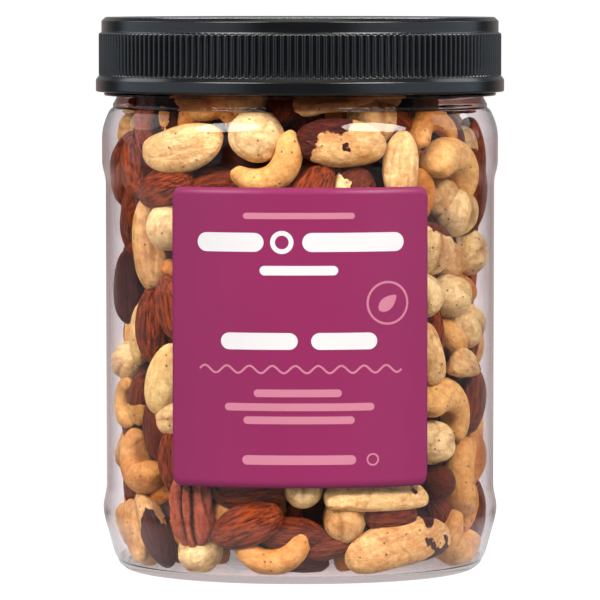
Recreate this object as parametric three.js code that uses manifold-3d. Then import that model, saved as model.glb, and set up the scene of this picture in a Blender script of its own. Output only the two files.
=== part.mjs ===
// A clear jar of mixed nuts with a ribbed black screw lid and a plain front label.
// Millimetres, +Z up. The origin is at the middle of the foot, on the surface the jar stands on,
// and the label faces -Y. A bearing is an angle about the jar's axis, from the front towards +X.
import * as THREE from 'three';
import { mergeVertices } from 'three/addons/utils/BufferGeometryUtils.js';
import Module from 'manifold-3d';

const wasm = await Module();
wasm.setup();

// ---- Jar ----
const WALL = 0.9;              // thickness of the clear plastic
const PUSH_UP = 2.4;           // how far the middle of the base stands clear of the table
const FOOT_INSIDE = 44;        // half width of the hollow inside the flat foot ring
const FLOOR_HALF = 47;         // half width of the floor inside the jar
const SQUARENESS = 2.2;        // the body is slightly squarer than round, which is 2
const SHOULDER_LOW = 121.5;    // the body's full width ends here and the shoulder starts
const NECK_BASE = 133.2;       // the shoulder ends here in the round neck
const NECK_RADIUS = 51.5;
const RING_RADIUS = 55.4;      // thin support ring, just under the lid
const RING_TOP = 134.0;
const MOUTH_RADIUS = 53.4;     // outside of the plain mouth that the lid covers
const MOUTH_TOP = 152.9;
const SHOULDER_STEPS = 3;
const JAR_COLUMNS = 36;

// Outside of the body: height and half width. It runs up the heel, over the base bulge, along the
// recessed panel and out to the shoulder bulge.
const BODY = [
  [0, 48.6],
  [0.7, 50.7],
  [3.6, 52.7],
  [10.2, 54.4],
  [13.6, 55.4],
  [17.0, 55.95],
  [22.1, 54.9],
  [109.6, 54.9],
  [113.6, 55.95],
  [SHOULDER_LOW, 55.95],
];

// ---- Lid ----
const LID_BOTTOM = 134.3;
const LID_TOP = 155.3;
const LID_CEILING = 153.3;
const LID_BORE = 54.2;         // inside of the skirt
const LID_TOP_RADIUS = 54.8;   // the flat top ends in a small chamfer
const LID_BAND_RADIUS = 56.1;  // smooth band above the ribs
const LID_BAND_TOP = 154.4;
const FLANGE_RADIUS = 57.7;
const FLANGE_INNER = 57.1;     // the flange's top slopes in to here, where the ribs begin
const FLANGE_TOP = 137.7;
const RIBS = 180;
const RIB_RADIUS = 56.9;
const GROOVE_RADIUS = 56.15;   // bottom of the grooves between the ribs
const RIB_LOW = 138.7;
const RIB_HIGH = 150.7;
const LID_COLUMNS = 48;

// ---- Label ----
const LABEL_HALF = 35.0;
const LABEL_LOW = 27.1;
const LABEL_HIGH = 109.2;
const LABEL_CORNER = 2.8;
const LABEL_THICKNESS = 0.4;
const LABEL_GAP = 0.3;         // from the jar's panel
const LABEL_COLUMNS = 4;       // columns of the jar's wall that it covers on each side of the middle

// ---- Heap of nuts ----
const NUT_GAP = 0.75;          // nuts are fitted this far from the jar's wall
const ROOM_GAP = 0.35;         // and what still comes nearer than this is trimmed
const FLOOR_TOP = 3.4;         // highest point of the floor inside
const FLOOR_EDGE = 1.1;        // lowest place for a nut beside the wall
const HEAP_TOP = 131;          // nut centres beside the neck reach up to here
const RIGHT_TOP = 116;         // and up to here on the right, where the shoulder stands empty
const CORE_COLUMNS = 20;
const CORE = [                 // height, half width, and how far it lies to the left
  [7.5, 39, 0],
  [13, 46, 0],
  [108, 47.3, 0],
  [118, 45, 2.5],
  [137, 43, 3.5],
];

// Each kind of nut is rings round a spine. length is its overall size, and spine and curl are the
// length and the bend, in radians, of its middle line. blunt is how its width grows from the first
// end and from the last: less is blunter. taper makes the first end thicker, and ridge makes the
// section three-sided.
const KINDS = {
  brazil: {
    length: 36, spine: 36, curl: 0.7, width: 16, depth: 13.5,
    blunt: [0.72, 0.95], taper: 0.06, ridge: 0.2, rings: 4, sides: 6,
  },
  pecan: {
    length: 30, spine: 30, curl: 0.2, width: 17.5, depth: 9,
    blunt: [0.75, 0.85], taper: 0.04, ridge: 0, rings: 4, sides: 7,
  },
  cashew: {
    length: 27, spine: 29, curl: 3.2, width: 9.4, depth: 9.8,
    blunt: [0.42, 0.55], taper: 0.14, ridge: 0, rings: 5, sides: 5,
  },
  almond: {
    length: 23, spine: 23, curl: 0.1, width: 12.8, depth: 8.4,
    blunt: [0.8, 1.25], taper: 0.05, ridge: 0, rings: 3, sides: 6,
  },
  hazelnut: {
    length: 14.6, spine: 14.6, curl: 0.1, width: 14, depth: 13.6,
    blunt: [0.9, 1.1], taper: 0, ridge: 0, rings: 3, sides: 6,
  },
};

// Nuts that can be told apart through the front: kind, across, up, turn from level (anticlockwise,
// degrees), roll about its own length, how far it lies behind the wall, overall length, and girth
// beside the usual one.
const SEEN = [
  // under the neck and in the shoulder, from left to right
  ['almond', -49.7, 112.2, 84, 70, 0, 22, 1],
  ['hazelnut', -47.8, 122.4, 0, 0, 2, 12, 1],
  ['cashew', -36.5, 126.0, 95, 0, 4, 22, 1],
  ['cashew', -26.5, 128.6, 10, 0, 2.5, 22, 1],
  ['brazil', -31.9, 119.9, 190, 20, 0, 27.5, 1.15],
  ['hazelnut', -11.5, 122.6, -15, 0, 0, 15.7, 0.95],
  ['cashew', -8.2, 114.6, 215, 0, 0, 24, 1],
  ['almond', -37.4, 108.9, 195, 15, 0, 22.5, 1],
  ['almond', -21.7, 107.0, 10, 0, 3, 22, 1],
  ['brazil', 10.8, 120.7, -4, 30, 0, 25, 1.3],
  ['hazelnut', 14.0, 108.2, 60, 0, 0, 13.5, 1],
  ['hazelnut', 20.2, 127.6, -80, 0, 1, 15, 0.95],
  ['almond', 26.9, 125.0, -35, 20, 4, 18, 1],
  ['brazil', 27.8, 114.4, 90, 0, 0, 20, 1.25],
  ['cashew', 42.3, 113.3, -25, 0, 0, 25, 1.2],
  ['hazelnut', 46.7, 118.6, 0, 0, 4, 12.5, 1],
  ['hazelnut', 37.6, 105.6, 0, 0, 4, 13.5, 1],
  // in the neck
  ['cashew', -27.0, 134.0, 175, 0, 0, 24, 1],
  ['hazelnut', -14.5, 134.2, 40, 0, 0, 14, 1],
  ['almond', -3.0, 135.0, 70, 30, 1, 20, 1],
  ['brazil', 9.5, 133.2, 10, 0, 0, 24, 1],
  ['hazelnut', 21.5, 135.0, 0, 0, 0, 14, 1],
  // left of the label, from the top
  ['almond', -49.6, 97.0, 92, 60, 2, 18, 1],
  ['brazil', -41.5, 92.4, 104, 0, 2, 27, 1.05],
  ['hazelnut', -35.6, 97.8, 70, 0, 0, 14, 1],
  ['brazil', -48.1, 79.8, 94, 0, 0, 21, 1.05],
  ['cashew', -48.4, 67.4, 90, 0, 3, 16, 1],
  ['almond', -40.9, 69.8, 95, 0, 2, 21, 1],
  ['almond', -35.0, 75.9, 105, 0, 0, 18.5, 1.05],
  ['hazelnut', -47.1, 58.4, 30, 0, 0, 12.4, 1],
  ['almond', -37.1, 55.6, 70, 0, 0, 21, 1.05],
  ['cashew', -48.9, 47.4, 90, 0, 0, 15, 1.15],
  ['almond', -45.1, 48.6, 75, 20, 2.5, 15.5, 1],
  ['hazelnut', -33.2, 44.6, 0, 0, 2, 13, 1],
  ['almond', -39.0, 41.9, 100, 20, 4, 21, 1],
  ['cashew', -44.8, 30.9, 145, 0, 0, 23, 1.15],
  ['almond', -34.0, 34.2, 85, 40, 2, 20, 1],
  // under the label, from left to right
  ['brazil', -46.0, 11.8, -52, 0, 0, 20, 1],
  ['brazil', -40.6, 12.8, -48, 40, 1.5, 25, 1.1],
  ['pecan', -29.4, 21.2, 92, 0, 0, 24, 0.93],
  ['hazelnut', -27.2, 7.4, 20, 0, 0, 13, 1],
  ['almond', -14.6, 16.2, 202, 10, 0, 21.5, 1],
  ['almond', -12.4, 25.4, 5, 0, 3, 22, 1],
  ['cashew', -7.7, 7.0, 183, 0, 0, 24.5, 0.95],
  ['almond', -1.8, 13.6, 0, 0, 2.5, 18, 1],
  ['hazelnut', 0.8, 26.8, 90, 0, 0, 12, 1],
  ['almond', 7.2, 10.6, 10, 0, 3.5, 15, 1],
  ['hazelnut', 11.4, 17.6, -90, 0, 2.5, 14, 0.9],
  ['brazil', 20.6, 24.0, -2, 0, 0, 31, 0.85],
  ['brazil', 26.9, 9.6, 8, 20, 0, 34.5, 0.98],
  // right of the label, from the top
  ['hazelnut', 42.5, 101.2, 70, 0, 0, 14.3, 1],
  ['almond', 49.8, 98.4, 90, 60, 2.5, 16, 1],
  ['hazelnut', 35.2, 91.6, 90, 0, 0, 15, 0.95],
  ['hazelnut', 46.3, 89.3, 20, 0, 0, 14, 1],
  ['hazelnut', 33.4, 78.6, 90, 0, 0, 12.5, 1],
  ['hazelnut', 41.2, 78.1, 0, 0, 0.5, 13, 1],
  ['almond', 48.6, 79.8, 75, 30, 4, 18, 1],
  ['hazelnut', 45.1, 68.8, -45, 0, 0, 14, 1],
  ['brazil', 35.4, 62.6, 105, 0, 0, 18, 1.1],
  ['brazil', 45.3, 58.1, -5, 0, 0, 19, 1],
  ['cashew', 40.5, 46.8, -28, 0, 0, 26, 1.1],
  ['brazil', 49.4, 47.0, 90, 0, 3, 16, 1],
  ['hazelnut', 36.3, 37.4, 0, 0, 0, 13.2, 1],
  ['cashew', 45.6, 27.0, 88, 0, 0, 26, 0.9],
  ['hazelnut', 38.0, 26.2, 0, 0, 0.5, 10, 1],
  ['almond', 48.6, 15.6, 80, 50, 1, 24, 1.05],
];

// The rest of the heap: how many of each kind are tried against the walls, the largest first.
const SPREAD = [['brazil', 15], ['pecan', 7], ['cashew', 22], ['almond', 34], ['hazelnut', 26]];
const ON_FLOOR = [['brazil', 3], ['cashew', 2], ['almond', 4], ['hazelnut', 2]];
const TRIES = 80;              // places tried for one nut: the one furthest from others is taken
const SIZE_RANGE = [0.9, 1.08];
const ROLL_RANGE = 25;         // degrees either way from lying flat against the wall
const EDGE_ON_SHARE = 0.2;     // this share of the nuts stands on edge instead
const FLOOR_RADIUS = 38;       // nuts seen through the base lie inside this
const MOSTLY_HIDDEN = 2.5;     // a nut this far behind the wall is hidden by those before it
const LABEL_HIDES = 5;         // no nuts are needed this far behind the label's edges
const BEADS = [0.22, 0.41, 0.59, 0.78];
const BEAD_SIZE = 0.86;
const SEED = 20261;

const DEG = Math.PI / 180;
const UP = new THREE.Vector3(0, 0, 1);

// A closed skin through rings of points, each ring anticlockwise seen from where they lead.
// The first and the last ring are single points.
function skin(rings) {
  const columns = Math.max(...rings.map((ring) => ring.length));
  const starts = [];
  const positions = [];
  for (const ring of rings) {
    starts.push(positions.length / 3);
    for (const point of ring) positions.push(point.x, point.y, point.z);
  }
  const pick = (i, j) => starts[i] + (rings[i].length > 1 ? j % columns : 0);
  const index = [];
  for (let i = 0; i + 1 < rings.length; i++) {
    for (let j = 0; j < columns; j++) {
      if (rings[i].length > 1) index.push(pick(i, j), pick(i, j + 1), pick(i + 1, j + 1));
      if (rings[i + 1].length > 1) index.push(pick(i, j), pick(i + 1, j + 1), pick(i + 1, j));
    }
  }
  const geometry = new THREE.BufferGeometry();
  geometry.setAttribute('position', new THREE.Float32BufferAttribute(positions, 3));
  geometry.setIndex(index);
  return geometry;
}

function toSolid(geometry) {
  const bare = geometry.clone();
  bare.deleteAttribute('normal');
  bare.deleteAttribute('uv');
  const merged = mergeVertices(bare);
  return new wasm.Manifold(new wasm.Mesh({
    numProp: 3,
    vertProperties: new Float32Array(merged.attributes.position.array),
    triVerts: new Uint32Array(merged.index.array),
  }));
}

function toGeometry(solid) {
  const mesh = solid.getMesh();
  const geometry = new THREE.BufferGeometry();
  geometry.setAttribute('position', new THREE.Float32BufferAttribute(mesh.vertProperties, 3));
  geometry.setIndex(new THREE.Uint32BufferAttribute(mesh.triVerts, 1));
  return geometry;
}

function atBearing(bearing, radius, height) {
  return new THREE.Vector3(radius * Math.sin(bearing), -radius * Math.cos(bearing), height);
}

function ringOf(columns, height, radiusAt) {
  const ring = [];
  for (let j = 0; j < columns; j++) {
    const bearing = (j / columns) * 2 * Math.PI;
    ring.push(atBearing(bearing, radiusAt(bearing), height));
  }
  return ring;
}

function superellipse(bearing, halfWidth) {
  const along = Math.abs(Math.cos(bearing)) ** SQUARENESS;
  const across = Math.abs(Math.sin(bearing)) ** SQUARENESS;
  return halfWidth / (along + across) ** (1 / SQUARENESS);
}

// Half width of the body's outside at a height.
function bodyHalf(height) {
  let row = 1;
  while (row < BODY.length - 1 && height > BODY[row][0]) row++;
  const [lowHeight, lowHalf] = BODY[row - 1];
  const [highHeight, highHalf] = BODY[row];
  const share = THREE.MathUtils.clamp((height - lowHeight) / (highHeight - lowHeight), 0, 1);
  return lowHalf + (highHalf - lowHalf) * share;
}

// Distance from the axis to the jar's wall, or to a surface that lies `inset` inside it.
function wallRadius(bearing, height, inset) {
  const neck = NECK_RADIUS - inset;
  if (height >= NECK_BASE) return neck;
  const body = superellipse(bearing, bodyHalf(height) - inset);
  if (height <= SHOULDER_LOW) return body;
  const share = (NECK_BASE - height) / (NECK_BASE - SHOULDER_LOW);
  return neck + (body - neck) * Math.sin((share * Math.PI) / 2);
}

function roundRing(radius, height) {
  return ringOf(JAR_COLUMNS, height, () => radius);
}

function footRing(half, height) {
  return ringOf(JAR_COLUMNS, height, (bearing) => superellipse(bearing, half));
}

// Rings of the jar's wall from the foot to the neck, or of a surface that lies `inset` inside it.
function wallRings(inset) {
  const heights = BODY.map(([height]) => height).filter((height) => height >= 3 * inset);
  for (let step = 1; step <= SHOULDER_STEPS; step++) {
    heights.push(SHOULDER_LOW + ((NECK_BASE - SHOULDER_LOW) * step) / SHOULDER_STEPS);
  }
  return heights.map((height) => (
    ringOf(JAR_COLUMNS, height, (bearing) => wallRadius(bearing, height, inset))));
}

function jarGeometry() {
  return skin([
    [new THREE.Vector3(0, 0, PUSH_UP)],
    footRing(FOOT_INSIDE, 0),
    ...wallRings(0),
    roundRing(RING_RADIUS, NECK_BASE),
    roundRing(RING_RADIUS, RING_TOP),
    roundRing(MOUTH_RADIUS, RING_TOP),
    roundRing(MOUTH_RADIUS, MOUTH_TOP),
    roundRing(NECK_RADIUS - WALL, MOUTH_TOP),
    ...wallRings(WALL).reverse(),
    footRing(FLOOR_HALF, WALL),
    [new THREE.Vector3(0, 0, PUSH_UP + WALL)],
  ]);
}

// The room inside the jar, with a small gap to its wall and floor.
function roomInside() {
  const inset = WALL + ROOM_GAP;
  return toSolid(skin([
    [new THREE.Vector3(0, 0, PUSH_UP + inset)],
    footRing(FLOOR_HALF - ROOM_GAP, inset),
    ...wallRings(inset),
    roundRing(NECK_RADIUS - inset, MOUTH_TOP),
    [new THREE.Vector3(0, 0, MOUTH_TOP)],
  ]));
}

function turned(profile) {
  const points = profile.map(([radius, height]) => new THREE.Vector2(radius, height));
  return toSolid(new THREE.LatheGeometry(points, LID_COLUMNS).rotateX(Math.PI / 2));
}

// A disc whose rim carries the grip ribs.
function ribDisc() {
  const outline = [];
  for (let i = 0; i < 2 * RIBS; i++) {
    const angle = (i / (2 * RIBS)) * 2 * Math.PI;
    const radius = i % 2 ? GROOVE_RADIUS : RIB_RADIUS;
    outline.push(new THREE.Vector2(radius * Math.cos(angle), radius * Math.sin(angle)));
  }
  const depth = RIB_HIGH - FLANGE_TOP;
  const disc = new THREE.ExtrudeGeometry(new THREE.Shape(outline), { depth, bevelEnabled: false });
  return toSolid(disc.translate(0, 0, FLANGE_TOP));
}

function lidGeometry() {
  const outside = turned([
    [0, LID_BOTTOM],
    [FLANGE_RADIUS, LID_BOTTOM],
    [FLANGE_RADIUS, FLANGE_TOP],
    [FLANGE_INNER, RIB_LOW],
    [LID_BORE + WALL, RIB_LOW],
    [LID_BORE + WALL, RIB_HIGH - WALL],
    [LID_BAND_RADIUS, RIB_HIGH - WALL],
    [LID_BAND_RADIUS, LID_BAND_TOP],
    [LID_TOP_RADIUS, LID_TOP],
    [0, LID_TOP],
  ]);
  const inside = turned([
    [0, LID_BOTTOM - 1],
    [LID_BORE, LID_BOTTOM - 1],
    [LID_BORE, LID_CEILING],
    [0, LID_CEILING],
  ]);
  return toGeometry(outside.add(ribDisc()).subtract(inside));
}

// The label follows the front panel: a strip bent like the wall, trimmed to rounded corners.
function labelGeometry() {
  const height = LABEL_HIGH - LABEL_LOW;
  const panelHalf = bodyHalf(LABEL_LOW);
  const front = [];
  const back = [];
  for (let j = -LABEL_COLUMNS; j <= LABEL_COLUMNS; j++) {
    const bearing = (j / JAR_COLUMNS) * 2 * Math.PI;
    const wall = superellipse(bearing, panelHalf);
    const [inner, outer] = [wall + LABEL_GAP, wall + LABEL_GAP + LABEL_THICKNESS];
    front.push(new THREE.Vector2(outer * Math.sin(bearing), -outer * Math.cos(bearing)));
    back.unshift(new THREE.Vector2(inner * Math.sin(bearing), -inner * Math.cos(bearing)));
  }
  const bent = new THREE.ExtrudeGeometry(
    new THREE.Shape([...front, ...back]), { depth: height + 2, bevelEnabled: false });
  const card = new THREE.Shape();
  const [side, low, high, corner] = [LABEL_HALF, -height / 2, height / 2, LABEL_CORNER];
  card.moveTo(-side + corner, low).lineTo(side - corner, low);
  card.absarc(side - corner, low + corner, corner, -Math.PI / 2, 0);
  card.absarc(side - corner, high - corner, corner, 0, Math.PI / 2);
  card.absarc(-side + corner, high - corner, corner, Math.PI / 2, Math.PI);
  card.absarc(-side + corner, low + corner, corner, Math.PI, 1.5 * Math.PI);
  const cutter = new THREE.ExtrudeGeometry(
    card, { depth: panelHalf, bevelEnabled: false, curveSegments: 3 });
  cutter.rotateX(Math.PI / 2).translate(0, -panelHalf / 2, (LABEL_LOW + LABEL_HIGH) / 2);
  return toGeometry(toSolid(bent.translate(0, 0, LABEL_LOW - 1)).intersect(toSolid(cutter)));
}

// Half the width of a nut of this kind, at a share of its length.
function halfWidthAt(kind, share) {
  const [first, last] = kind.blunt;
  const swell = Math.sin(Math.PI * share) ** (first + (last - first) * share);
  return (kind.width / 2) * swell * (1 + kind.taper * Math.cos(Math.PI * share));
}

// A point of the nut's middle line, and the direction from the middle of its bend.
function spineAt(kind, share) {
  const swing = (-Math.cos(Math.PI * share) / 2) * kind.curl;
  const radius = kind.spine / kind.curl;
  const middle = Math.sin(kind.curl / 2) / (kind.curl / 2);
  return {
    point: new THREE.Vector3(radius * Math.sin(swing), radius * (Math.cos(swing) - middle), 0),
    outward: new THREE.Vector3(Math.sin(swing), Math.cos(swing), 0),
  };
}

// Rings of points round a nut, with its length along X, its width along Y and its depth along Z.
function nutRings(kind, scale, girth) {
  const swell = Math.cos(Math.PI / kind.sides) ** -0.5;
  const rings = [[spineAt(kind, 0).point]];
  for (let i = 1; i <= kind.rings; i++) {
    const share = i / (kind.rings + 1);
    const { point, outward } = spineAt(kind, share);
    const ring = [];
    for (let j = 0; j < kind.sides; j++) {
      const around = (j / kind.sides) * 2 * Math.PI;
      const facet = 1 - (kind.ridge * (1 - Math.cos(3 * around))) / 2;
      const reach = halfWidthAt(kind, share) * girth * swell * facet;
      const height = (reach * Math.sin(around) * kind.depth) / kind.width;
      ring.push(point.clone().addScaledVector(outward, reach * Math.cos(around)).setZ(height));
    }
    rings.push(ring);
  }
  rings.push([spineAt(kind, 1).point]);
  for (const ring of rings) for (const point of ring) point.multiplyScalar(scale);
  return rings;
}

// Turns a nut so that its depth points out through the wall.
function nutTurn(outward, turn, roll) {
  const level = Math.abs(outward.z) > 0.9
    ? new THREE.Vector3(1, 0, 0)
    : new THREE.Vector3().crossVectors(UP, outward).normalize();
  const rise = new THREE.Vector3().crossVectors(outward, level);
  const along = level.clone().multiplyScalar(Math.cos(turn * DEG));
  along.addScaledVector(rise, Math.sin(turn * DEG));
  const across = new THREE.Vector3().crossVectors(outward, along);
  const basis = new THREE.Matrix4().makeBasis(along, across, outward);
  return basis.multiply(new THREE.Matrix4().makeRotationX(roll * DEG));
}

// The wall's level outward direction at a bearing.
function wallNormal(bearing, height) {
  const step = 0.01;
  const before = atBearing(bearing - step, wallRadius(bearing - step, height, WALL), 0);
  const after = atBearing(bearing + step, wallRadius(bearing + step, height, WALL), 0);
  return new THREE.Vector3().subVectors(after, before).cross(UP).normalize();
}

// The bearing in the front half of a point `inset` inside the wall and `across` from the middle.
function frontBearing(across, height, inset) {
  let [near, far] = [0, Math.PI / 2];
  for (let i = 0; i < 30; i++) {
    const middle = (near + far) / 2;
    const reach = wallRadius(middle, height, inset) * Math.sin(middle);
    if (reach < Math.abs(across)) near = middle;
    else far = middle;
  }
  return Math.sign(across) * near;
}

// A nut against the wall: its rings in place, and beads that stand for it when others are fitted.
function placeOnWall(name, bearing, height, turn, roll, behind, scale, girth) {
  const kind = KINDS[name];
  const outward = wallNormal(bearing, height);
  const basis = nutTurn(outward, turn, roll);
  const rings = nutRings(kind, scale, girth);
  for (const ring of rings) for (const point of ring) point.applyMatrix4(basis);
  const lowest = Math.min(...rings.flat().map((point) => point.z));
  const place = atBearing(bearing, wallRadius(bearing, height, WALL), height);
  place.z = Math.max(height, FLOOR_EDGE + NUT_GAP - lowest);
  for (let step = 0; step < 5; step++) {
    let gap = Infinity;
    for (const point of rings.flat()) {
      const at = point.clone().add(place);
      const wall = wallRadius(Math.atan2(at.x, -at.y), at.z, WALL);
      gap = Math.min(gap, wall - Math.hypot(at.x, at.y));
    }
    place.addScaledVector(outward, gap - NUT_GAP);
  }
  place.addScaledVector(outward, -behind);
  return finished(kind, rings, basis, place, scale, girth);
}

function placeOnFloor(name, x, y, turn, roll, scale) {
  const kind = KINDS[name];
  const basis = nutTurn(UP.clone().negate(), turn, roll);
  const rings = nutRings(kind, scale, 1);
  for (const ring of rings) for (const point of ring) point.applyMatrix4(basis);
  const lowest = Math.min(...rings.flat().map((point) => point.z));
  const place = new THREE.Vector3(x, y, FLOOR_TOP + NUT_GAP - lowest);
  return finished(kind, rings, basis, place, scale, 1);
}

function finished(kind, rings, basis, place, scale, girth) {
  for (const ring of rings) for (const point of ring) point.add(place);
  const beads = BEADS.map((share) => ({
    at: spineAt(kind, share).point.multiplyScalar(scale).applyMatrix4(basis).add(place),
    radius: halfWidthAt(kind, share) * scale * girth * Math.sqrt(kind.depth / kind.width) * BEAD_SIZE,
  }));
  return { rings, beads };
}

// Free distance between a nut and the ones already placed: less than 0 where they overlap.
function clearance(nut, placed) {
  let free = Infinity;
  for (const other of placed) {
    for (const mine of nut.beads) {
      for (const theirs of other.beads) {
        free = Math.min(free, mine.at.distanceTo(theirs.at) - mine.radius - theirs.radius);
      }
    }
  }
  return free;
}

function randomSource(seed) {
  let state = seed;
  return () => {
    state = (Math.imul(state, 1664525) + 1013904223) >>> 0;
    return state / 4294967296;
  };
}

// Highest place for a nut's middle at a bearing: the shoulder stays empty on the right.
function heapTop(bearing) {
  const toRight = Math.max(0, Math.sin(bearing)) ** 4;
  return HEAP_TOP + (RIGHT_TOP - HEAP_TOP) * toRight;
}

function behindLabel(bearing, height) {
  const radius = wallRadius(bearing, height, WALL);
  const across = Math.abs(radius * Math.sin(bearing));
  const side = Math.cos(bearing) > 0 && across < LABEL_HALF - LABEL_HIDES;
  return side && height > LABEL_LOW + LABEL_HIDES && height < LABEL_HIGH - LABEL_HIDES;
}

// Adds nuts one by one, each in the freest of the places tried, and skips a nut that has none.
function spread(counts, placed, random, tryOne) {
  const added = [];
  for (const [name, count] of counts) {
    for (let i = 0; i < count; i++) {
      const scale = SIZE_RANGE[0] + (SIZE_RANGE[1] - SIZE_RANGE[0]) * random();
      let best = null;
      let bestFree = 0;
      for (let t = 0; t < TRIES; t++) {
        const draws = [random(), random(), random(), random(), random()];
        const nut = tryOne(name, scale, draws);
        if (!nut) continue;
        const free = clearance(nut, [...placed, ...added]);
        if (free > bestFree) [best, bestFree] = [nut, free];
      }
      if (best) added.push(best);
    }
  }
  return added;
}

function rollFrom(draw, edgeDraw) {
  const lean = (2 * draw - 1) * ROLL_RANGE;
  return edgeDraw < EDGE_ON_SHARE ? 90 + lean : lean;
}

function wallTry(name, scale, draws) {
  const bearing = (2 * draws[0] - 1) * Math.PI;
  const height = FLOOR_EDGE + (heapTop(bearing) - FLOOR_EDGE) * draws[1];
  if (behindLabel(bearing, height)) return null;
  const roll = rollFrom(draws[3], draws[4]);
  return placeOnWall(name, bearing, height, 360 * draws[2], roll, 0, scale, 1);
}

function floorTry(name, scale, draws) {
  const radius = FLOOR_RADIUS * Math.sqrt(draws[0]);
  const bearing = (2 * draws[1] - 1) * Math.PI;
  const at = atBearing(bearing, radius, 0);
  return placeOnFloor(name, at.x, at.y, 360 * draws[2], rollFrom(draws[3], draws[4]), scale);
}

function placeSeen([name, across, up, turn, roll, behind, length, girth]) {
  const scale = length / KINDS[name].length;
  const inset = WALL + NUT_GAP + behind + (KINDS[name].depth * scale * girth) / 2;
  const bearing = frontBearing(across, up, inset);
  const nut = placeOnWall(name, bearing, up, turn, roll, behind, scale, girth);
  return { ...nut, shows: behind < MOSTLY_HIDDEN };
}

function layOutNuts() {
  const random = randomSource(SEED);
  const seen = SEEN.map(placeSeen);
  const round = spread(SPREAD, seen, random, wallTry);
  const floor = spread(ON_FLOOR, [...seen, ...round], random, floorTry);
  return [...seen.filter((nut) => nut.shows), ...round, ...floor];
}

// A core with the nuts that show fused on.
function nutsGeometry() {
  const core = CORE.map(([height, half, left]) => {
    const ring = ringOf(CORE_COLUMNS, height, (bearing) => superellipse(bearing, half));
    return ring.map((point) => point.setX(point.x - left));
  });
  const [firstHeight, , firstLeft] = CORE[0];
  const [lastHeight, , lastLeft] = CORE[CORE.length - 1];
  const solids = [toSolid(skin([
    [new THREE.Vector3(-firstLeft, 0, firstHeight)],
    ...core,
    [new THREE.Vector3(-lastLeft, 0, lastHeight)],
  ]))];
  for (const nut of layOutNuts()) solids.push(toSolid(skin(nut.rings)));
  const pieces = wasm.Manifold.union(solids).intersect(roomInside()).decompose();
  pieces.sort((one, other) => other.volume() - one.volume());
  return toGeometry(pieces[0]);
}

function part(name, geometry, material) {
  const mesh = new THREE.Mesh(geometry, new THREE.MeshStandardMaterial(material));
  mesh.name = name;
  return mesh;
}

const jarOfNuts = new THREE.Group();
jarOfNuts.add(
  part('jar', jarGeometry(), {
    color: '#e9e4e8', roughness: 0.06, metalness: 0, opacity: 0.3, transparent: true,
  }),
  part('lid', lidGeometry(), { color: '#26282c', roughness: 0.45, metalness: 0 }),
  part('label', labelGeometry(), { color: '#a03a69', roughness: 0.5, metalness: 0 }),
  part('nuts', nutsGeometry(), { color: '#c98d55', roughness: 0.6, metalness: 0 }),
);

export default jarOfNuts;
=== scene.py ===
"""Looks of a clear jar of mixed nuts with a ribbed black lid and a plain magenta label.

Sizes in the tables are millimetres, and the studio's are metres, as every mesh is. The origin is at
the middle of the foot, +Z is up and the label faces -Y. A bearing is an angle about the jar's axis,
from the front towards +X.
"""
import math
from math import pi

import bpy
import numpy as np
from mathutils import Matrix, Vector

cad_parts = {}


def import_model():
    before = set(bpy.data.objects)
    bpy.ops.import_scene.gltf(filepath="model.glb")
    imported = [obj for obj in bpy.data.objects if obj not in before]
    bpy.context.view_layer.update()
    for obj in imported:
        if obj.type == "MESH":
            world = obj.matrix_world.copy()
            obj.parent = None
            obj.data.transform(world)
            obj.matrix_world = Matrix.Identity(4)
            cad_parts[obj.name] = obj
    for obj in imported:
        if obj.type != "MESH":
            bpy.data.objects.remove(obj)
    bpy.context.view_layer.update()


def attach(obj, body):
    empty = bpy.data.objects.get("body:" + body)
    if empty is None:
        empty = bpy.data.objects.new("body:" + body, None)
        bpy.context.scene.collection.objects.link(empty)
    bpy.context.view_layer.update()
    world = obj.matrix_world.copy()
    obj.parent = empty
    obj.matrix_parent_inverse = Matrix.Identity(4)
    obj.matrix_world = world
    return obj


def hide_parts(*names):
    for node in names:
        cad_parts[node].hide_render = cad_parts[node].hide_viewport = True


MM = 0.001

# ---- Jar ----
WALL = 0.9
PUSH_UP = 2.4
SQUARENESS = 2.2
SHOULDER_LOW = 121.5
NECK_BASE = 133.2
NECK_RADIUS = 51.5
RING_RADIUS = 55.4
RING_TOP = 134.0
MOUTH_RADIUS = 53.4
MOUTH_TOP = 152.9
PANEL_HALF = 54.9  # the body's half width behind the label
JAR_COLUMNS = 180
# Outside of the body: height and half width.
BODY = [
    (0, 48.6), (0.7, 50.7), (3.6, 52.7), (10.2, 54.4), (13.6, 55.4), (17.0, 55.95),
    (22.1, PANEL_HALF), (109.6, PANEL_HALF), (113.6, 55.95), (SHOULDER_LOW, 55.95),
]
# Its rows of points: lowest, highest and number.
BODY_ROWS = [(2.2, 24, 24), (28, 106, 14), (107.5, 128.2, 28), (128.5, 131.3, 15), (131.8, 133, 3)]
BODY_ROUNDING = 1.6  # the profile's corners are smoothed over this height
CREASE_HEIGHT = 129.9  # a fine crease round the top of the shoulder
CREASE_DEPTH = 0.5
CREASE_WIDTH = 0.55
BODY_TINT = (0.955, 0.905, 0.92)
NECK_THICK_AND_SHADE_TINT = (0.46, 0.31, 0.28)  # painted shade: darker for its thicker plastic and for the lid's shade
FOOT_TINT = (0.82, 0.70, 0.68)  # the foot's plastic is thicker too
SHADOW_TINT = (0.97, 0.955, 0.965)
CLEAR_IOR = 1.34

# ---- Lid ----
LID_BOTTOM = 134.3
LID_TOP = 155.3
LID_BORE = 54.2
LID_CEILING = 153.3
FLANGE_RADIUS = 57.7
FLANGE_INNER = 57.1
FLANGE_TOP = 137.7
RIB_LOW = 138.7
RIB_HIGH = 150.7
RIBS = 180
RIB_RADIUS = 56.9
GROOVE_DEPTH = 0.85
GROOVE_SHARE = 0.46  # of the distance from rib to rib
RIB_COLUMNS = 7
LID_BAND_RADIUS = 56.1

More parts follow.
